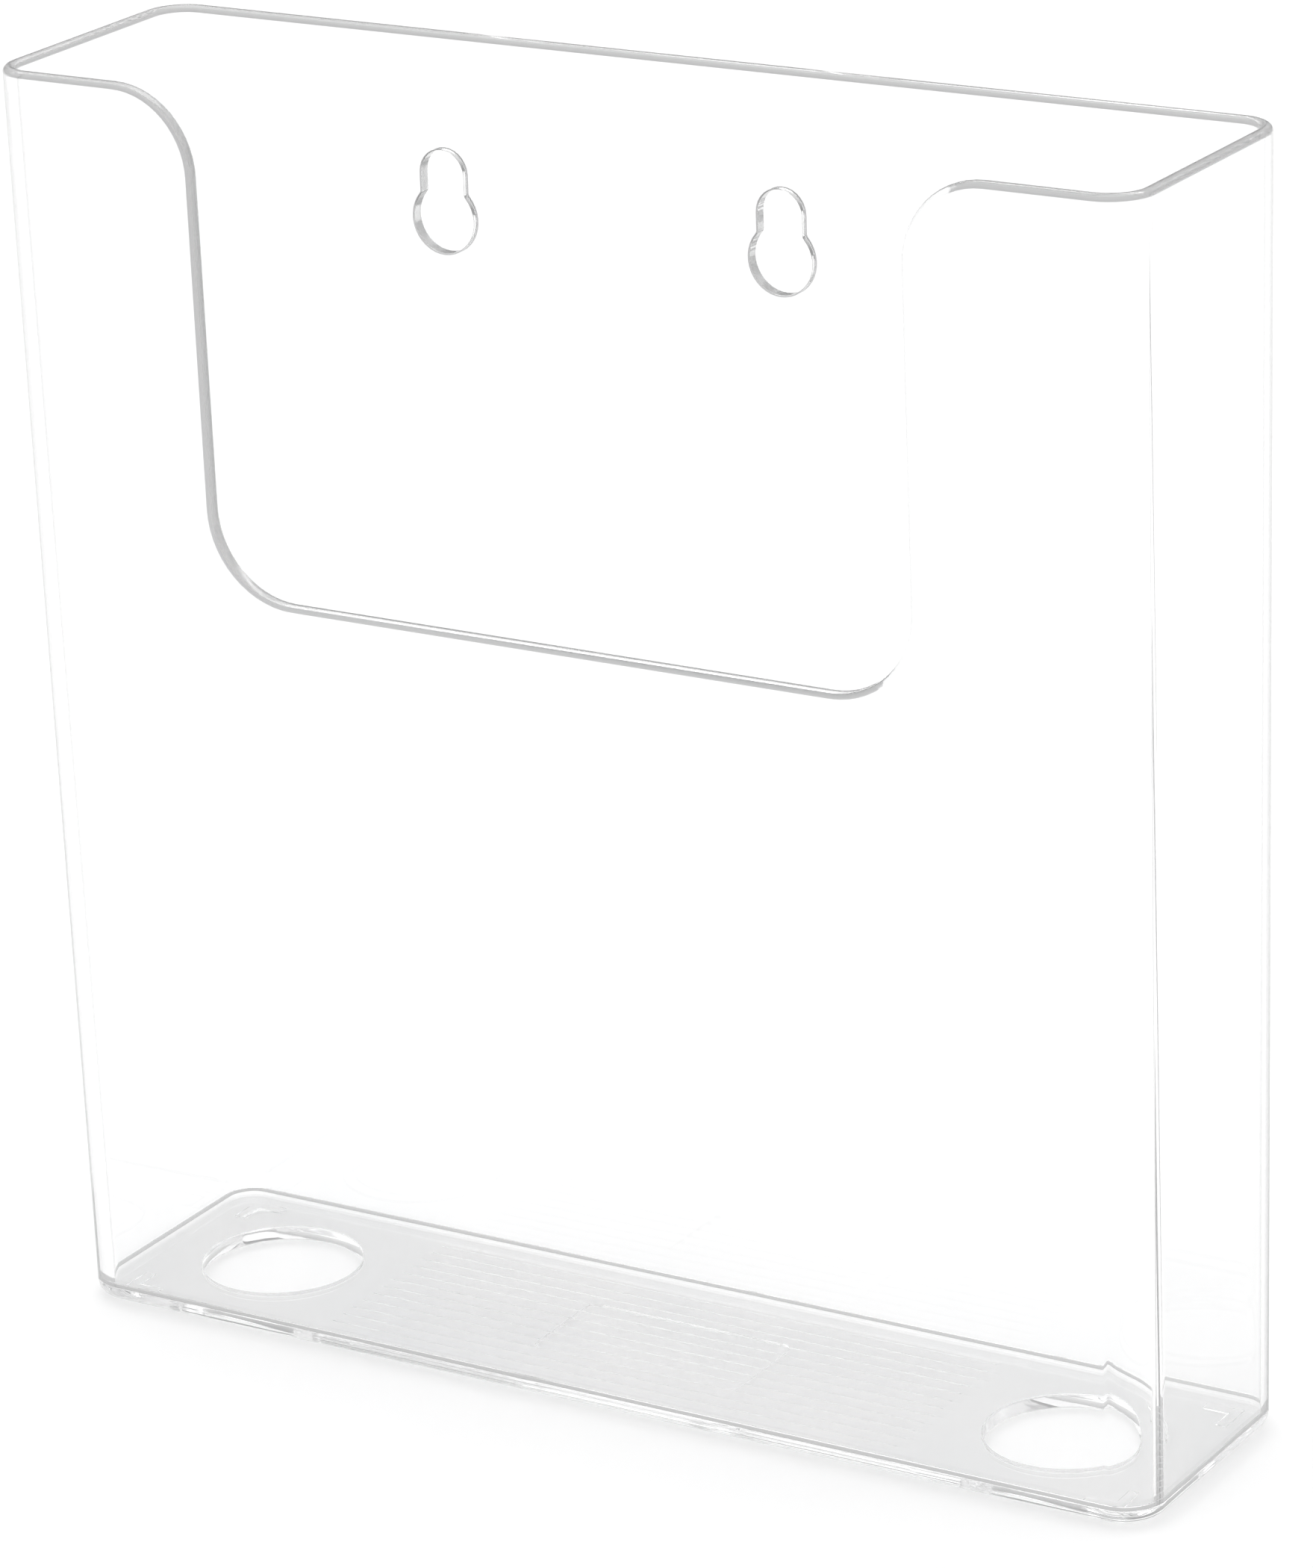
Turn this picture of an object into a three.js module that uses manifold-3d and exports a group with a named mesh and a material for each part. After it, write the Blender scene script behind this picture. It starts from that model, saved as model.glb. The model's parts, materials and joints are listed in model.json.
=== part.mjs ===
// Clear moulded literature pocket: a tapered wall shell that stands on, and is bonded to, a ribbed base plate.
// Millimetres, +Z up, front towards -Y, origin on the ground under the middle of the pocket.

import * as THREE from "three";
import { ConvexGeometry } from "three/addons/geometries/ConvexGeometry.js";
import { mergeVertices } from "three/addons/utils/BufferGeometryUtils.js";
import Module from "manifold-3d";

const wasm = await Module();
wasm.setup();

// ---- Driving sizes ----

const topWidth = 230;
const topDepth = 57.7;
const height = 240.4;
const draft = 1.4; // how far each outer face leans out between the ground and the top edge
const wallAtTop = 2.4;
const wallAtRim = 3;
const cornerRadius = 8;

// Base plate
const footHeight = 0.4;
const floorThickness = 2.8;
const floorZ = footHeight + floorThickness;
const rimStep = 0.4; // the land under the walls stands this far above the floor
const rimZ = floorZ + rimStep;
const edgeRadius = 2.8; // rounding along the bottom outer edge
const bondGap = 0.3; // cement line between the rim and the walls

// Round holes through the base, one near each end
const holeRadius = 15.35;
const holeOffsetX = 84.9;

// Ribbed field between the holes: V grooves that run from side to side
const grooveCount = 12;
const groovePitch = 3.46;
const grooveWidth = 0.5;
const grooveDepth = 0.12;
const grooveFieldWidth = 122;
const grooveRamp = 1.2; // each groove runs out over this length at its ends

// Plain recessed panel under the middle of the base
const panelWidth = 44;
const panelDepth = 22;
const panelRadius = 2.5;
const panelRecess = 0.3;

// L-shaped feet under the four corners
const footCornerX = 106.3;
const footCornerY = 22.2;
const footArm = 7.2;
const footArmWidth = 2.1;

// Hand opening in the front wall
const openingWidth = 142.6;
const openingBottomZ = 147.3;
const openingRadius = 16; // both the inner corners below and the shoulders at the top

// Hanging holes in the back wall: a round head with a narrower slot above it
const keyholeSpacing = 71;
const keyholeMiddleX = -19.2;
const keyholeHeadRadius = 6.4;
const keyholeSlotWidth = 9;
const keyholeHeadZ = 205.4;
const keyholeTopZ = 218.3;

const overshoot = 1; // how far cutting shapes pass the faces that they cut
const grooveOvershoot = 0.25; // the same for the shallow grooves
const cornerSteps = 10;
const edgeSteps = 5;
const arcSegments = 20;
const panelArcSegments = 5;
const holeSegments = 64;
const sameSpot = 1e-4; // corners nearer than this are one corner

// ---- Solids ----

// A geometry as a solid that can be added and subtracted.
function solidFrom(geometry) {
  const bare = geometry.clone();
  bare.deleteAttribute("normal");
  bare.deleteAttribute("uv");
  const merged = mergeVertices(bare, sameSpot);
  return new wasm.Manifold(
    new wasm.Mesh({
      numProp: 3,
      vertProperties: merged.attributes.position.array,
      triVerts: new Uint32Array(merged.index.array),
    }),
  );
}

function geometryFrom(solid) {
  const mesh = solid.getMesh();
  const geometry = new THREE.BufferGeometry();
  geometry.setAttribute("position", new THREE.BufferAttribute(mesh.vertProperties, mesh.numProp));
  geometry.setIndex(new THREE.BufferAttribute(mesh.triVerts, 1));
  const flat = geometry.toNonIndexed();
  flat.computeVertexNormals();
  return flat;
}

// The outline of the pocket at height z, moved inwards by inset.
function outlineAt(z, inset) {
  const lean = draft * (1 - z / height);
  return {
    z,
    halfWidth: topWidth / 2 - lean - inset,
    halfDepth: topDepth / 2 - lean - inset,
    radius: cornerRadius - inset,
  };
}

// The walls thicken evenly from the top edge down to the rim.
function wallAt(z) {
  return wallAtRim + (wallAtTop - wallAtRim) * ((z - rimZ) / (height - rimZ));
}

// Points round a rectangle with rounded corners, counter-clockwise seen from above.
function outlinePoints({ z, halfWidth, halfDepth, radius }) {
  const points = [];
  const quadrants = [[1, 1], [-1, 1], [-1, -1], [1, -1]];
  quadrants.forEach(([sideX, sideY], quadrant) => {
    for (let step = 0; step <= cornerSteps; step += 1) {
      const angle = (quadrant + step / cornerSteps) * (Math.PI / 2);
      const x = sideX * (halfWidth - radius) + radius * Math.cos(angle);
      const y = sideY * (halfDepth - radius) + radius * Math.sin(angle);
      points.push(x, y, z);
    }
  });
  return points;
}

// A closed body through a stack of outlines, lowest first.
function loft(outlines) {
  const positions = outlines.flatMap(outlinePoints);
  const count = 4 * (cornerSteps + 1);
  const lastRing = (outlines.length - 1) * count;
  const faces = [];
  for (let i = 1; i < count - 1; i += 1) {
    faces.push(0, i + 1, i);
    faces.push(lastRing, lastRing + i, lastRing + i + 1);
  }
  for (let ring = 0; ring < lastRing; ring += count) {
    for (let i = 0; i < count; i += 1) {
      const next = (i + 1) % count;
      faces.push(ring + i, ring + next, ring + count + next);
      faces.push(ring + i, ring + count + next, ring + count + i);
    }
  }
  const geometry = new THREE.BufferGeometry();
  geometry.setAttribute("position", new THREE.Float32BufferAttribute(positions, 3));
  geometry.setIndex(faces);
  return solidFrom(geometry);
}

// A drawn outline in the X-Z plane as a cutter that runs along Y from startY to endY.
function cutterAlongY(shape, startY, endY) {
  const geometry = new THREE.ExtrudeGeometry(shape, {
    depth: endY - startY,
    bevelEnabled: false,
    curveSegments: arcSegments,
  });
  geometry.rotateX(Math.PI / 2);
  geometry.translate(0, endY, 0);
  return solidFrom(geometry);
}

function box(x0, x1, y0, y1, z0, z1) {
  const geometry = new THREE.BoxGeometry(x1 - x0, y1 - y0, z1 - z0);
  geometry.translate((x0 + x1) / 2, (y0 + y1) / 2, (z0 + z1) / 2);
  return solidFrom(geometry);
}

// ---- Wall shell ----

// A wide U, open at the top, whose shoulders flare out to meet the top edge.
function handOpening() {
  const half = openingWidth / 2;
  const shoulderX = half + openingRadius;
  const shoulderZ = height - openingRadius;
  const cornerX = half - openingRadius;
  const cornerZ = openingBottomZ + openingRadius;
  const shape = new THREE.Shape();
  shape.moveTo(-shoulderX, height + overshoot);
  shape.lineTo(-shoulderX, height);
  shape.absarc(-shoulderX, shoulderZ, openingRadius, Math.PI / 2, 0, true);
  shape.absarc(-cornerX, cornerZ, openingRadius, Math.PI, 1.5 * Math.PI, false);
  shape.absarc(cornerX, cornerZ, openingRadius, 1.5 * Math.PI, 2 * Math.PI, false);
  shape.absarc(shoulderX, shoulderZ, openingRadius, Math.PI, Math.PI / 2, true);
  shape.lineTo(shoulderX, height + overshoot);
  return cutterAlongY(shape, -topDepth, 0);
}

function keyhole(centreX) {
  const slotHalf = keyholeSlotWidth / 2;
  const neckAngle = Math.acos(slotHalf / keyholeHeadRadius);
  const shape = new THREE.Shape();
  shape.absarc(centreX, keyholeTopZ - slotHalf, slotHalf, 0, Math.PI, false);
  shape.absarc(
    centreX, keyholeHeadZ, keyholeHeadRadius, Math.PI - neckAngle, 2 * Math.PI + neckAngle, false,
  );
  return cutterAlongY(shape, 0, topDepth);
}

function wallShell() {
  const bottomZ = rimZ + bondGap;
  const outside = loft([outlineAt(bottomZ, 0), outlineAt(height, 0)]);
  const [insideLow, insideHigh] = [bottomZ - overshoot, height + overshoot];
  const inside = loft([
    outlineAt(insideLow, wallAt(insideLow)),
    outlineAt(insideHigh, wallAt(insideHigh)),
  ]);
  return outside
    .subtract(inside)
    .subtract(handOpening())
    .subtract(keyhole(keyholeMiddleX - keyholeSpacing / 2))
    .subtract(keyhole(keyholeMiddleX + keyholeSpacing / 2));
}

// ---- Base plate ----

// The plate's outside, rounded along its bottom edge and level with the walls above.
function plateBody() {
  const outlines = [];
  for (let step = 0; step <= edgeSteps; step += 1) {
    const angle = (step / edgeSteps) * (Math.PI / 2);
    const inset = edgeRadius * (1 - Math.sin(angle));
    outlines.push(outlineAt(footHeight + edgeRadius * (1 - Math.cos(angle)), inset));
  }
  outlines.push(outlineAt(rimZ, 0));
  return loft(outlines);
}

// What is cleared above the floor, inside the rim.
function spaceInsideRim() {
  return loft([
    outlineAt(floorZ, wallAtRim + rimStep),
    outlineAt(rimZ, wallAtRim),
    outlineAt(rimZ + overshoot, wallAtRim),
  ]);
}

function baseHole(centreX) {
  const geometry = new THREE.CylinderGeometry(holeRadius, holeRadius, rimZ + 2 * overshoot, holeSegments);
  geometry.rotateX(Math.PI / 2);
  geometry.translate(centreX, 0, rimZ / 2);
  return solidFrom(geometry);
}

// One V groove, wide at the floor and closing to a line, with a ramp at each end.
function groove(index) {
  const y = (index - (grooveCount - 1) / 2) * groovePitch;
  const grow = 1 + grooveOvershoot / grooveDepth;
  const topZ = floorZ + grooveDepth * (grow - 1);
  const halfTop = (grooveWidth / 2) * grow;
  const bottomEnd = grooveFieldWidth / 2 - grooveRamp;
  const topEnd = bottomEnd + grooveRamp * grow;
  const points = [];
  for (const side of [-1, 1]) {
    points.push(new THREE.Vector3(side * topEnd, y - halfTop, topZ));
    points.push(new THREE.Vector3(side * topEnd, y + halfTop, topZ));
    points.push(new THREE.Vector3(side * bottomEnd, y, floorZ - grooveDepth));
  }
  return solidFrom(new ConvexGeometry(points));
}

function panelRecessCutter() {
  const x = panelWidth / 2;
  const y = panelDepth / 2;
  const r = panelRadius;
  const shape = new THREE.Shape();
  shape.absarc(x - r, y - r, r, 0, Math.PI / 2, false);
  shape.absarc(-x + r, y - r, r, Math.PI / 2, Math.PI, false);
  shape.absarc(-x + r, -y + r, r, Math.PI, 1.5 * Math.PI, false);
  shape.absarc(x - r, -y + r, r, 1.5 * Math.PI, 2 * Math.PI, false);
  const geometry = new THREE.ExtrudeGeometry(shape, {
    depth: panelRecess + overshoot,
    bevelEnabled: false,
    curveSegments: panelArcSegments,
  });
  geometry.translate(0, 0, footHeight - overshoot);
  return solidFrom(geometry);
}

// An L whose corner points to the plate's corner; it is let into the plate to make one body.
function foot(sideX, sideY) {
  const rootZ = footHeight + floorThickness / 2;
  const span = (side, near, far) => [side * near, side * far].sort((a, b) => a - b);
  const [x0, x1] = span(sideX, footCornerX - footArm, footCornerX);
  const [y0, y1] = span(sideY, footCornerY - footArmWidth, footCornerY);
  const alongX = box(x0, x1, y0, y1, 0, rootZ);
  const [x2, x3] = span(sideX, footCornerX - footArmWidth, footCornerX);
  const [y2, y3] = span(sideY, footCornerY - footArm, footCornerY);
  return alongX.add(box(x2, x3, y2, y3, 0, rootZ));
}

function basePlate() {
  let plate = plateBody()
    .subtract(spaceInsideRim())
    .subtract(baseHole(-holeOffsetX))
    .subtract(baseHole(holeOffsetX))
    .subtract(panelRecessCutter());
  for (let index = 0; index < grooveCount; index += 1) {
    plate = plate.subtract(groove(index));
  }
  for (const sideX of [-1, 1]) {
    for (const sideY of [-1, 1]) {
      plate = plate.add(foot(sideX, sideY));
    }
  }
  return plate;
}

// ---- Assembly ----

function clearPlastic() {
  return new THREE.MeshStandardMaterial({
    color: 0xf3f6f7,
    roughness: 0.06,
    metalness: 0,
    transparent: true,
    opacity: 0.3,
  });
}

function namedMesh(name, solid) {
  const mesh = new THREE.Mesh(geometryFrom(solid), clearPlastic());
  mesh.name = name;
  return mesh;
}

const magazineRack = new THREE.Group();
magazineRack.name = "magazine_rack";
magazineRack.add(namedMesh("wall_shell", wallShell()));
magazineRack.add(namedMesh("base_plate", basePlate()));

export default magazineRack;
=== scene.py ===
"""Clear moulded magazine pocket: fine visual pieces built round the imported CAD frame, in a plain studio.

Metres, +Z up, front towards -Y, origin on the ground under the middle of the pocket.
"""

import json
import math

import bmesh
import bpy
from mathutils import Matrix, Vector
from mathutils.geometry import delaunay_2d_cdt

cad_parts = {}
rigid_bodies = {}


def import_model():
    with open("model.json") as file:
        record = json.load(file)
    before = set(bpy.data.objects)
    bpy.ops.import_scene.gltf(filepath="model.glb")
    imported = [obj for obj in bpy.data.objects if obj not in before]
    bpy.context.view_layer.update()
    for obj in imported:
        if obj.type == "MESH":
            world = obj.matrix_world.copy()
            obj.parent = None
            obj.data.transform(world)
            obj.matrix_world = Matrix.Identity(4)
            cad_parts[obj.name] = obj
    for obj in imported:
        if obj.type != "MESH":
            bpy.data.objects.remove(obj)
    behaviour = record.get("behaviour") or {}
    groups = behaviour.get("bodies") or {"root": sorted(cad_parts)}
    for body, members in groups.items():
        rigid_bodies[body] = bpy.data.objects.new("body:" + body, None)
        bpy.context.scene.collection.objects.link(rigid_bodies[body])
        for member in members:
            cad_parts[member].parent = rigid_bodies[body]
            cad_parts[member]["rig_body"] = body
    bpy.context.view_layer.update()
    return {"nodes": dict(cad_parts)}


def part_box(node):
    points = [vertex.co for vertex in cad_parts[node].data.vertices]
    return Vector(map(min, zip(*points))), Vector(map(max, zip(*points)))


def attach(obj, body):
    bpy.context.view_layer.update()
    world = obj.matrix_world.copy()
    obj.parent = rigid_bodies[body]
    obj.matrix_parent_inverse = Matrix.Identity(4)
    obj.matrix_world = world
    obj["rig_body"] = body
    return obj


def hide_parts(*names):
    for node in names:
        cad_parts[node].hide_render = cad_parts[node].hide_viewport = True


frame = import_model()
shell_low, shell_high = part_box("wall_shell")
plate_low, plate_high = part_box("base_plate")

MM = 0.001
QUARTER = math.pi / 2
QUADRANTS = [(1, 1), (-1, 1), (-1, -1), (1, -1)]  # anticlockwise

# ---- Sizes that both models share ----

top_z = shell_high.z
rim_z = plate_high.z
foot_height = 0.4 * MM
floor_z = rim_z - 0.4 * MM
wall_at_top = 2.4 * MM
wall_at_rim = 3 * MM
corner_radius = 8 * MM
edge_radius = 2.8 * MM

opening_half = 71.3 * MM
opening_bottom_z = 147.3 * MM
opening_radius = 16 * MM

keyhole_spacing = 71 * MM
keyhole_middle_x = -19.2 * MM
keyhole_head_radius = 6.4 * MM
keyhole_slot_half = 4.5 * MM
keyhole_head_z = 205.4 * MM
keyhole_top_z = 218.3 * MM

hole_radius = 15.35 * MM
hole_x = 84.9 * MM

rib_count = 12
rib_pitch = 3.46 * MM
field_half_x = 61 * MM
rib_ramp = 1.2 * MM  # each rib runs out over this length at its ends

panel_half_x = 22 * MM
panel_half_y = 11 * MM
panel_radius = 2.5 * MM
panel_recess = 0.3 * MM

foot_x = 106.3 * MM
foot_y = 22.2 * MM
foot_arm = 7.2 * MM
foot_arm_width = 2.1 * MM

# ---- Fine detail that only the visual pieces have ----

seam_gap = 0.06 * MM  # what is left of the cement line between the walls and the rim
top_edge = wall_at_top / 2  # the free top edge is fully rounded
keyhole_edge = 0.3 * MM
seam_edge = 0.12 * MM
hole_edge = 0.3 * MM
neck_radius = 1.2 * MM  # where a keyhole's slot runs into its head
foot_edge = 0.12 * MM
panel_edge = 0.1 * MM
rib_height = 0.07 * MM
riser = 0.12 * MM  # length of the small step up from one rib to the next

corner_steps = 16
arc_steps = 14
round_steps = 4
bead_steps = 9  # round each half of the top edge
circle_steps = 96
foot_curve_steps = 3 * round_steps  # round the bottom edge of the base
rib_steps = 6  # round the back of a rib
same_spot = 0.002 * MM  # corners nearer than this are one vertex
tiny_edge = 0.0005 * MM
fill_tolerance = 1e-5
INSIDE_ONLY = 1  # what the flat fill keeps
flat_weight = 50

refraction = 1.57
body_absorption = 0.15  # per metre: long ways through the plastic come out a little grey
ALL_WAYS = (1, 1, 1)
tint_edges = (0.35, 0.65)  # the stretch of a noise over which a tint goes from dark to light

flow_scale = 28  # noise scales: waves of about 1 / scale metres
flow_stretch = (1, 1, 0.45)
flow_height = 0.004 * MM
flow_dark = (0.985, 0.988, 0.99)
flow_light = (1, 1, 1)
patch_scale = 60
patch_edges = (0.6, 0.75)
patch_roughness = (0, 0.02)

grain_scale = 2500
grain_height = 0.01 * MM
shade_scale = 90
shade_edges = (0.3, 0.7)
cut_roughness = (0.06, 0.14)
painted_shade_tint = (0.3, 0.305, 0.31)  # painted shade where the surface turns away, as round an upright corner; it stands in for the dark surroundings that clear plastic shows there
walls_painted_shade_start = 0.52  # how far it has turned away where the painted shade begins: 0 facing, 1 edge on
# where the painted shade begins on the base
base_painted_shade_start = 0.8
cut_dark = (0.975, 0.977, 0.978)
cut_light = (0.998, 0.998, 0.998)
facing_blend = 0.5  # with this, Facing is 1 less the cosine of the view angle

paint_scale = 9
paint_dark = (0.925, 0.925, 0.925)
paint_light = (0.935, 0.935, 0.935)
paint_roughness = (0.55, 0.65)

walls_lamp_share = 0.95  # of a lamp's light that passes each face of the plastic
base_lamp_share = 0.72

floor_half = 6
floor_drop = 0.05 * MM  # keeps the studio floor clear of the feet

horizon_strength = 0.3
sky_strength = 0.74
horizon_edge = 0.1  # heights on the sky: 0 at the horizon, 1 overhead
ceiling_edge = 0.65
overhead_strength = 1.72
overhead_angle = math.radians(70)
overhead_turn = (math.radians(-6), math.radians(-10), 0)
most_bounces = 512  # light passes many clear faces on its way out

camera_place = Vector((589.1, -948.1, 513.9)) * MM
camera_right = Vector((0.8566, 0.5148, -0.0358))
camera_forward = Vector((-0.4951, 0.8003, -0.3382))
camera_sensor = 36
camera_lens = 151.3
camera_nearest = 0.01


# ---- Building a closed mesh from rings and flat fills ----

POLISHED, CUT = 0, 1  # the two finishes of a piece, in the order of its materials


def counter_clockwise(loop):
    twice_area = sum(a[0] * b[1] - b[0] * a[1] for a, b in zip(loop, [*loop[1:], loop[0]]))
    return loop if twice_area > 0 else loop[::-1]


class Draft:
    """Faces given by their corner points. Corners at the same place become one vertex."""

    def __init__(self):
        self.points = []
        self.faces = []
        self.finishes = []

    def add(self, corners, finish=POLISHED):
        start = len(self.points)
        self.points.extend(corners)
        self.faces.append(range(start, start + len(corners)))
        self.finishes.append(finish)

    def strip(self, first, second, closed, finish):
        """Faces between two rings, or two open paths, that have as many points as each other."""
        count = len(first)
        for i in range(count if closed else count - 1):
            j = (i + 1) % count
            self.add([first[i], first[j], second[j], second[i]], finish)

    def strips(self, rings, closed=True, finish=POLISHED):
        for first, second in zip(rings, rings[1:]):
            self.strip(first, second, closed, finish)

    def fill(self, place, outer, holes=(), lines=()):
        """Fills the flat outline outer, less its holes. place puts each flat point in space."""
        flat = []
        loops = []
        for loop in [outer, *holes]:
            loops.append(list(range(len(flat), len(flat) + len(loop))))
            flat.extend(counter_clockwise(loop))
        edges = []
        for start, end in lines:
            edges.append((len(flat), len(flat) + 1))
            flat.extend([start, end])
        scaled = [Vector(p) / MM for p in flat]
        made = delaunay_2d_cdt(scaled, edges, loops, INSIDE_ONLY, fill_tolerance)
        corners, triangles, first_ids, inside = made[0], made[2], made[3], made[5]
        spots = [flat[ids[0]] if ids else tuple(c * MM) for c, ids in zip(corners, first_ids)]
        for triangle, where in zip(triangles, inside):
            if list(where) == [0]:
                self.add([place(*spots[i]) for i in triangle])

    def make(self, name):
        """The finished object: merged, facing out, smooth, and flat where its large faces are flat."""
        mesh = bpy.data.meshes.new(name)
        mesh.from_pydata(self.points, [], self.faces)
        mesh.polygons.foreach_set("material_index", self.finishes)
        work = bmesh.new()
        work.from_mesh(mesh)
        bmesh.ops.remove_doubles(work, verts=work.verts, dist=same_spot)
        bmesh.ops.dissolve_degenerate(work, edges=work.edges, dist=tiny_edge)
        bmesh.ops.recalc_face_normals(work, faces=work.faces)
        open_edges = sum(1 for edge in work.edges if not edge.is_manifold)
        if open_edges:
            raise ValueError(f"{name} has {open_edges} open edges")
        for face in work.faces:
            face.smooth = True
        work.to_mesh(mesh)
        work.free()
        made = bpy.data.objects.new(name, mesh)
        bpy.context.scene.collection.objects.link(made)
        normals = made.modifiers.new("flat_stays_flat", "WEIGHTED_NORMAL")
        normals.weight = flat_weight
        return made


def arc(centre, radius, start, end, steps):
    """Points along an arc in the plane, in quarter turns from start to end."""
    angles = [(start + (end - start) * i / steps) * QUARTER for i in range(steps + 1)]
    return [(centre[0] + radius * math.cos(a), centre[1] + radius * math.sin(a)) for a in angles]


def edge_profile(radius, thickness, steps=round_steps):
    """(how far back from the edge, share of the thickness) across a rounded edge, from outside to inside."""
    angles = [i / steps * QUARTER for i in range(steps + 1)]
    outer = [(radius * (1 - math.sin(a)), radius / thickness * (1 - math.cos(a))) for a in angles]
    inner = [(back, 1 - across) for back, across in reversed(outer)]
    return outer + inner


# ---- The tapered, rounded box that both pieces share ----

def height_share(z):
    """0 at the rim, 1 at the top."""
    return (z - rim_z) / (top_z - rim_z)


def half_size(z):
    """Half the width and half the depth of the outside at height z."""
    share = height_share(z)
    return (
        plate_high.x + share * (shell_high.x - plate_high.x),
        plate_high.y + share * (shell_high.y - plate_high.y),
    )


flat_x_top = shell_high.x - corner_radius
flat_y_top = shell_high.y - corner_radius
corner_length = corner_radius * QUARTER
front_corner_u = flat_x_top
side_u = front_corner_u + corner_length
back_corner_u = side_u + 2 * flat_y_top
back_u = back_corner_u + corner_length
seam_u = back_u + flat_x_top


def stretch(z):
    """How wide the flat of the front and back is at height z, beside that at the top."""
    return (half_size(z)[0] - corner_radius) / flat_x_top


def wall_thickness(z):
    return wall_at_rim + height_share(z) * (wall_at_top - wall_at_rim)


def wall_point(u, z, across):
    """A point of the unrolled wall, across from its outer face (0) to its inner (1).

    u runs along the outside at the top, from 0 at the middle of the front.
    """
    half_x, half_y = half_size(z)
    depth = across * wall_thickness(z)
    radius = corner_radius - depth
    flat_x = half_x - corner_radius
    flat_y = half_y - corner_radius
    side = 1 if u >= 0 else -1
    along = abs(u)
    if along <= front_corner_u:
        x = along * flat_x / flat_x_top
        y = depth - half_y
    elif along <= side_u:
        angle = (along - front_corner_u) / corner_radius
        x = flat_x + radius * math.sin(angle)
        y = -flat_y - radius * math.cos(angle)
    elif along <= back_corner_u:
        x = half_x - depth
        y = flat_y * ((along - side_u) / flat_y_top - 1)
    elif along <= back_u:
        angle = (along - back_corner_u) / corner_radius
        x = flat_x + radius * math.cos(angle)
        y = flat_y + radius * math.sin(angle)
    else:
        x = (seam_u - along) * flat_x / flat_x_top
        y = half_y - depth
    return (side * x, y, z)


def outline(z, inset):
    """The rounded rectangle of the outside at height z, moved in by inset."""
    half_x, half_y = half_size(z)
    flat_x = half_x - corner_radius
    flat_y = half_y - corner_radius
    points = []
    for turn, (side_x, side_y) in enumerate(QUADRANTS):
        centre = (side_x * flat_x, side_y * flat_y)
        points += arc(centre, corner_radius - inset, turn, turn + 1, corner_steps)
    return points


def at_height(points, z):
    return [(x, y, z) for x, y in points]


# ---- Walls ----

corner_marks = [front_corner_u + corner_length * i / corner_steps for i in range(corner_steps + 1)]
corner_marks += [back_corner_u + corner_length * i / corner_steps for i in range(corner_steps + 1)]


def top_path(inset):
    """The top edge from seam to seam, dipping into the hand opening; moved into the wall by inset."""
    z = top_z - inset
    shoulder = opening_half + opening_radius
    inner = opening_half - opening_radius
    shoulder_z = top_z - opening_radius
    inner_z = opening_bottom_z + opening_radius
    opening = arc((-shoulder, shoulder_z), opening_radius - inset, 1, 0, arc_steps)
    opening += arc((-inner, inner_z), opening_radius + inset, 2, 3, arc_steps)
    opening += arc((inner, inner_z), opening_radius + inset, 3, 4, arc_steps)
    opening += arc((shoulder, shoulder_z), opening_radius - inset, 2, 1, arc_steps)
    left = [(-u, z) for u in reversed(corner_marks)]
    right = [(u, z) for u in corner_marks]
    middle = [(x / stretch(height), height) for x, height in opening]
    return [(-seam_u, z), *left, *middle, *right, (seam_u, z)]


def bottom_path(inset):
    z = rim_z + seam_gap + inset
    left = [(-u, z) for u in reversed(corner_marks)]
    right = [(u, z) for u in corner_marks]
    return [(-seam_u, z), *left, *right, (seam_u, z)]


def keyhole_path(centre_x, inset):
    """A keyhole with a round head and a slot above it, its neck eased, moved into the wall by inset."""
    half = keyhole_slot_half + inset
    head = keyhole_head_radius + inset
    neck = neck_radius - inset
    neck_x = half + neck
    neck_z = math.sqrt((head + neck) ** 2 - neck_x ** 2)
    lean = math.atan2(neck_z, neck_x) / QUARTER
    slot_z = keyhole_top_z - keyhole_slot_half - keyhole_head_z
    points = arc((0, slot_z), half, 0, 2, arc_steps)
    points += arc((-neck_x, neck_z), neck, 0, -lean, round_steps)
    points += arc((0, 0), head, 2 - lean, 4 + lean, 2 * arc_steps)[1:-1]
    points += arc((neck_x, neck_z), neck, 2 + lean, 2, round_steps)
    placed = [(centre_x + x, keyhole_head_z + z) for x, z in points]
    return [(seam_u - x / stretch(z) if x > 0 else -seam_u - x / stretch(z), z) for x, z in placed]


def wall_piece():
    draft = Draft()
    keyhole_centres = [keyhole_middle_x - keyhole_spacing / 2, keyhole_middle_x + keyhole_spacing / 2]
    edges = [
        (top_path, edge_profile(top_edge, wall_at_top, bead_steps), False, CUT),
        (bottom_path, edge_profile(seam_edge, wall_at_rim), False, POLISHED),
    ]
    for centre in keyhole_centres:
        profile = edge_profile(keyhole_edge, wall_thickness(keyhole_head_z))
        edges.append((lambda inset, centre=centre: keyhole_path(centre, inset), profile, True, CUT))
    for path, profile, closed, finish in edges:
        rings = [[wall_point(u, z, across) for u, z in path(back)] for back, across in profile]
        draft.strips(rings, closed, finish)
    top = top_path(top_edge)
    bottom = bottom_path(seam_edge)
    holes = [keyhole_path(centre, keyhole_edge) for centre in keyhole_centres]
    lines = []
    for mark in [*corner_marks, *(-u for u in corner_marks)]:
        lines.append(((mark, top[0][1]), (mark, bottom[0][1])))
    for across in (0, 1):
        draft.fill(lambda u, z, across=across: wall_point(u, z, across), top + bottom[::-1], holes, lines)
    return draft.make("pocket_walls")


# ---- Base ----

def circle(centre_x, radius):
    return arc((centre_x, 0), radius, 0, 4, circle_steps)[:-1]


def rounded_rectangle(half_x, half_y, radius):
    points = []
    for turn, (side_x, side_y) in enumerate(QUADRANTS):
        centre = (side_x * (half_x - radius), side_y * (half_y - radius))
        points += arc(centre, radius, turn, turn + 1, round_steps)
    return points


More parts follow.
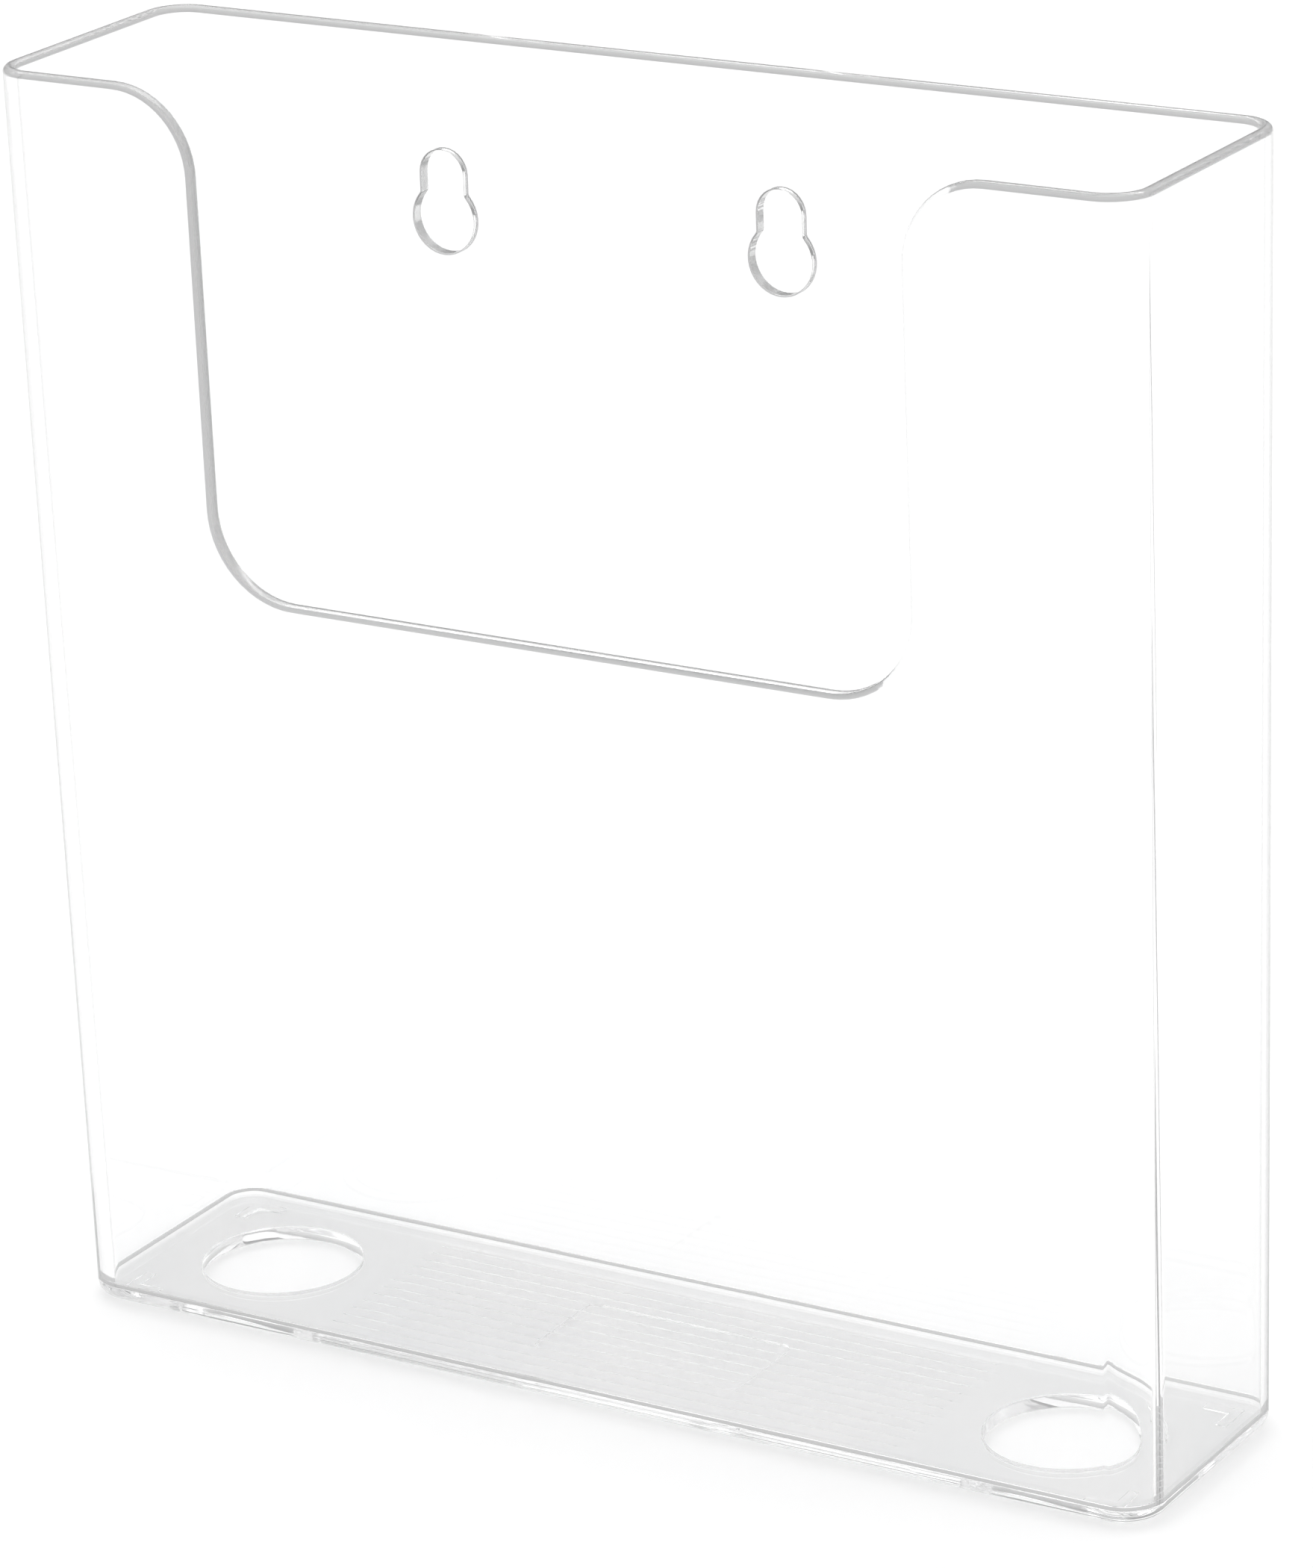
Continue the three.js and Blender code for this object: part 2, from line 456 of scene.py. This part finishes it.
def foot_outline(side_x, side_y, grow):
    """An L whose corner points to the plate's corner."""
    far_x = foot_x + grow
    far_y = foot_y + grow
    near_x = foot_x - foot_arm - grow
    near_y = foot_y - foot_arm - grow
    inner_x = foot_x - foot_arm_width - grow
    inner_y = foot_y - foot_arm_width - grow
    corners = [
        (far_x, far_y), (near_x, far_y), (near_x, inner_y),
        (inner_x, inner_y), (inner_x, near_y), (far_x, near_y),
    ]
    return [(side_x * x, side_y * y) for x, y in corners]


def rib_rows():
    """(y, drop below the floor) across the ribs.

    Each rib is level in front, then curves down to the riser of the next.
    """
    back_half = rib_pitch / 2 - riser
    shares = [i / rib_steps for i in range(rib_steps + 1)]
    rows = []
    for i in range(rib_count):
        middle = (i - rib_count / 2) * rib_pitch
        rows += [(middle + back_half * share, rib_height * share ** 2) for share in shares]
        rows.append((middle + rib_pitch / 2, 0))
    return [*rows, (-rows[0][0], 0)]


def rib_columns():
    """(x, share of the full depth) along the ribs, with an eased ramp at each end."""
    ramp = [(i / round_steps, math.sin(i / round_steps * QUARTER) ** 2) for i in range(round_steps + 1)]
    left = [(-field_half_x + share * rib_ramp, deep) for share, deep in ramp]
    right = [(-x, deep) for x, deep in reversed(left)]
    return left + right


def rib_field(draft):
    """Lays the ribs, and gives the outline of the field they fill."""
    rows = rib_rows()
    columns = rib_columns()
    lines = [[(x, y, floor_z - deep * drop) for x, deep in columns] for y, drop in rows]
    draft.strips(lines, closed=False)
    front, back = rows[0][0], rows[-1][0]
    edge = [(x, front) for x, _ in columns]
    edge += [(field_half_x, y) for y, _ in rows[1:-1]]
    edge += [(x, back) for x, _ in reversed(columns)]
    edge += [(-field_half_x, y) for y, _ in reversed(rows[1:-1])]
    return edge


def base_hole(draft, centre_x):
    """The wall of a round hole with both rims eased; gives the outline that it leaves in each face."""
    plate_thickness = floor_z - foot_height
    profile = edge_profile(hole_edge, plate_thickness)
    rings = [
        at_height(circle(centre_x, hole_radius + back), floor_z - across * plate_thickness)
        for back, across in profile
    ]
    draft.strips(rings)
    return circle(centre_x, hole_radius + hole_edge)


def eased_step(draft, shape, edge, from_z, to_z):
    """A low step in the underside: shape(grow) is its outline, eased by edge at both levels."""
    way = 1 if to_z > from_z else -1
    rings = [(edge, from_z), (0, from_z + way * edge), (0, to_z - way * edge), (-edge, to_z)]
    draft.strips([at_height(shape(grow), z) for grow, z in rings])
    draft.fill(lambda x, y: (x, y, to_z), shape(-edge))
    return shape(edge)


def plate_rings():
    """(height, inset) of the base's outside: up over the rim from the floor, and down to its underside."""
    fillet = rim_z - floor_z
    angles = [i / round_steps * QUARTER for i in range(round_steps + 1)]
    rings = [(floor_z + fillet * (1 - math.cos(a)), wall_at_rim + fillet * (1 - math.sin(a))) for a in angles]
    eased = reversed(angles)
    rings += [(rim_z - seam_edge * (1 - math.sin(a)), seam_edge * (1 - math.cos(a))) for a in eased]
    under = [i / foot_curve_steps * QUARTER for i in range(foot_curve_steps + 1)]
    rings += [(foot_height + edge_radius * (1 - math.sin(a)), edge_radius * (1 - math.cos(a))) for a in under]
    return rings


def base_piece():
    draft = Draft()
    rings = plate_rings()
    draft.strips([at_height(outline(z, inset), z) for z, inset in rings])
    holes = [base_hole(draft, -hole_x), base_hole(draft, hole_x)]
    draft.fill(lambda x, y: (x, y, floor_z), outline(*rings[0]), [*holes, rib_field(draft)])

    def panel(grow):
        return rounded_rectangle(panel_half_x + grow, panel_half_y + grow, panel_radius + grow)

    under = [*holes, eased_step(draft, panel, panel_edge, foot_height, foot_height + panel_recess)]
    for side_x in (-1, 1):
        for side_y in (-1, 1):
            def foot(grow, side_x=side_x, side_y=side_y):
                return foot_outline(side_x, side_y, grow)

            under.append(eased_step(draft, foot, foot_edge, foot_height, 0))
    draft.fill(lambda x, y: (x, y, foot_height), outline(*rings[-1]), under)
    return draft.make("pocket_base")


# ---- Materials ----

def linked_noise(tree, scale, detail, stretch_by):
    """A noise over the object, in waves of about 1 / scale metres, stretched along each axis."""
    place = tree.nodes.new("ShaderNodeTexCoord")
    mapping = tree.nodes.new("ShaderNodeMapping")
    mapping.inputs["Scale"].default_value = stretch_by
    tree.links.new(place.outputs["Object"], mapping.inputs["Vector"])
    noise = tree.nodes.new("ShaderNodeTexNoise")
    noise.inputs["Scale"].default_value = scale
    noise.inputs["Detail"].default_value = detail
    tree.links.new(mapping.outputs["Vector"], noise.inputs["Vector"])
    return noise.outputs["Fac"]


def linked_range(tree, value, low, high, bottom, top):
    """value, from low to high, becomes a number from bottom to top."""
    scaled = tree.nodes.new("ShaderNodeMapRange")
    scaled.inputs["From Min"].default_value = low
    scaled.inputs["From Max"].default_value = high
    scaled.inputs["To Min"].default_value = bottom
    scaled.inputs["To Max"].default_value = top
    tree.links.new(value, scaled.inputs["Value"])
    return scaled.outputs["Result"]


def linked_tint(tree, value, darkest, lightest):
    """A neutral colour between two greys."""
    ramp = tree.nodes.new("ShaderNodeValToRGB")
    ramp.color_ramp.elements[0].position = tint_edges[0]
    ramp.color_ramp.elements[0].color = (*darkest, 1)
    ramp.color_ramp.elements[1].position = tint_edges[1]
    ramp.color_ramp.elements[1].color = (*lightest, 1)
    tree.links.new(value, ramp.inputs["Fac"])
    return ramp.outputs["Color"]


def linked_bump(tree, value, height):
    bump = tree.nodes.new("ShaderNodeBump")
    bump.inputs["Strength"].default_value = 1
    bump.inputs["Distance"].default_value = height
    tree.links.new(value, bump.inputs["Height"])
    return bump.outputs["Normal"]


def add_painted_shade(tree, colour, start):
    """Paints shade: multiplies a colour by the dark tint, more and more as the surface turns away beyond
    start, standing in for the dark surroundings seen at glancing angles.
    """
    turned = tree.nodes.new("ShaderNodeLayerWeight")
    turned.inputs["Blend"].default_value = facing_blend
    amount = linked_range(tree, turned.outputs["Facing"], start, 1, 0, 1)
    multiply = tree.nodes.new("ShaderNodeMixRGB")
    multiply.blend_type = "MULTIPLY"
    # painted shade: the dark grey that the colour is multiplied by
    multiply.inputs["Color2"].default_value = (*painted_shade_tint, 1)
    tree.links.new(amount, multiply.inputs["Fac"])
    tree.links.new(colour, multiply.inputs["Color1"])
    return multiply.outputs["Color"]


def clear_shader(name, lamp_share):
    """Clear polystyrene that lamps shine through; gives the material, its node tree and its surface node."""
    material = bpy.data.materials.new(name)
    material.use_nodes = True
    tree = material.node_tree
    tree.nodes.clear()
    output = tree.nodes.new("ShaderNodeOutputMaterial")
    plastic = tree.nodes.new("ShaderNodeBsdfPrincipled")
    plastic.inputs["IOR"].default_value = refraction
    plastic.inputs["Transmission Weight"].default_value = 1
    for_lamps = tree.nodes.new("ShaderNodeBsdfTransparent")
    for_lamps.inputs["Color"].default_value = (lamp_share, lamp_share, lamp_share, 1)
    path = tree.nodes.new("ShaderNodeLightPath")
    mix = tree.nodes.new("ShaderNodeMixShader")
    tree.links.new(path.outputs["Is Shadow Ray"], mix.inputs["Fac"])
    tree.links.new(plastic.outputs["BSDF"], mix.inputs[1])
    tree.links.new(for_lamps.outputs["BSDF"], mix.inputs[2])
    tree.links.new(mix.outputs["Shader"], output.inputs["Surface"])
    body = tree.nodes.new("ShaderNodeVolumeAbsorption")
    body.inputs["Color"].default_value = (0, 0, 0, 1)
    body.inputs["Density"].default_value = body_absorption
    tree.links.new(body.outputs["Volume"], output.inputs["Volume"])
    return material, tree, plastic


def polished_plastic(name, lamp_share, painted_shade_from):
    """Moulded faces: nearly perfect, with faint flow waves, a few dull patches, and painted shade where they
    turn edge-on.
    """
    material, tree, plastic = clear_shader(name, lamp_share)
    flow = linked_noise(tree, flow_scale, 1, flow_stretch)
    patches = linked_noise(tree, patch_scale, 3, ALL_WAYS)
    clear = linked_tint(tree, flow, flow_dark, flow_light)
    # painted shade: the flow tint is darkened where the face turns away
    tree.links.new(add_painted_shade(tree, clear, painted_shade_from), plastic.inputs["Base Color"])
    dullness = linked_range(tree, patches, *patch_edges, *patch_roughness)
    tree.links.new(dullness, plastic.inputs["Roughness"])
    tree.links.new(linked_bump(tree, flow, flow_height), plastic.inputs["Normal"])
    return material


def cut_plastic(name, lamp_share):
    """Free edges and holes: slightly dull and grey, with a fine grain."""
    material, tree, plastic = clear_shader(name, lamp_share)
    grain = linked_noise(tree, grain_scale, 2, ALL_WAYS)
    shade = linked_noise(tree, shade_scale, 2, ALL_WAYS)
    tree.links.new(linked_tint(tree, shade, cut_dark, cut_light), plastic.inputs["Base Color"])
    dullness = linked_range(tree, shade, *shade_edges, *cut_roughness)
    tree.links.new(dullness, plastic.inputs["Roughness"])
    tree.links.new(linked_bump(tree, grain, grain_height), plastic.inputs["Normal"])
    return material


def pale_paint(name):
    """Matt studio floor with a faint mottle."""
    material = bpy.data.materials.new(name)
    material.use_nodes = True
    tree = material.node_tree
    paint = tree.nodes["Principled BSDF"]
    mottle = linked_noise(tree, paint_scale, 3, ALL_WAYS)
    tree.links.new(linked_tint(tree, mottle, paint_dark, paint_light), paint.inputs["Base Color"])
    dullness = linked_range(tree, mottle, *shade_edges, *paint_roughness)
    tree.links.new(dullness, paint.inputs["Roughness"])
    return material


# ---- Studio ----

def studio_floor():
    mesh = bpy.data.meshes.new("studio_floor")
    corners = [(floor_half * x, floor_half * y) for x, y in QUADRANTS]
    mesh.from_pydata(at_height(corners, -floor_drop), [], [(0, 1, 2, 3)])
    floor = bpy.data.objects.new("studio_floor", mesh)
    bpy.context.scene.collection.objects.link(floor)
    mesh.materials.append(pale_paint("floor_paint"))


def studio_light():
    world = bpy.data.worlds.new("studio")
    world.use_nodes = True
    tree = world.node_tree
    sky = tree.nodes["Background"]
    sky.inputs["Color"].default_value = (1, 1, 1, 1)
    direction = tree.nodes.new("ShaderNodeTexCoord")
    split = tree.nodes.new("ShaderNodeSeparateXYZ")
    tree.links.new(direction.outputs["Generated"], split.inputs["Vector"])
    rise = tree.nodes.new("ShaderNodeMapRange")
    rise.interpolation_type = "SMOOTHSTEP"
    rise.inputs["From Min"].default_value = horizon_edge
    rise.inputs["From Max"].default_value = ceiling_edge
    rise.inputs["To Min"].default_value = horizon_strength
    rise.inputs["To Max"].default_value = sky_strength
    tree.links.new(split.outputs["Z"], rise.inputs["Value"])
    tree.links.new(rise.outputs["Result"], sky.inputs["Strength"])
    bpy.context.scene.world = world
    lamp = bpy.data.lights.new("overhead", "SUN")
    lamp.energy = overhead_strength
    lamp.angle = overhead_angle
    overhead = bpy.data.objects.new("overhead", lamp)
    overhead.rotation_euler = overhead_turn
    bpy.context.scene.collection.objects.link(overhead)


def studio_camera():
    """A long lens, a little above the pocket and to its right, as the reference view has it."""
    camera = bpy.data.objects.new("camera", bpy.data.cameras.new("camera"))
    bpy.context.scene.collection.objects.link(camera)
    bpy.context.scene.camera = camera
    forward = camera_forward.normalized()
    up = camera_right.normalized().cross(forward).normalized()
    right = forward.cross(up).normalized()
    turned = Matrix((right, up, -forward)).transposed().to_4x4()
    turned.translation = camera_place
    camera.matrix_world = turned
    camera.data.sensor_width = camera_sensor
    camera.data.lens = camera_lens
    camera.data.clip_start = camera_nearest


# ---- Scene ----

studio_camera()
studio_floor()
studio_light()

walls = wall_piece()
# the walls' colour carries painted shade where they turn away, as round the upright corners
walls.data.materials.append(polished_plastic("clear_walls", walls_lamp_share, walls_painted_shade_start))
walls.data.materials.append(cut_plastic("clear_wall_edges", walls_lamp_share))
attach(walls, frame["nodes"]["wall_shell"]["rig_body"])
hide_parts("wall_shell")

base = base_piece()
# the base's colour carries painted shade where it turns nearly edge-on
base.data.materials.append(polished_plastic("clear_base", base_lamp_share, base_painted_shade_start))
base.data.materials.append(cut_plastic("clear_base_holes", base_lamp_share))
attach(base, frame["nodes"]["base_plate"]["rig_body"])
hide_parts("base_plate")

scene = bpy.context.scene
scene.view_settings.view_transform = "Standard"
scene.cycles.max_bounces = most_bounces
scene.cycles.transmission_bounces = most_bounces
scene.cycles.glossy_bounces = most_bounces
scene.cycles.caustics_reflective = True
scene.cycles.caustics_refractive = True
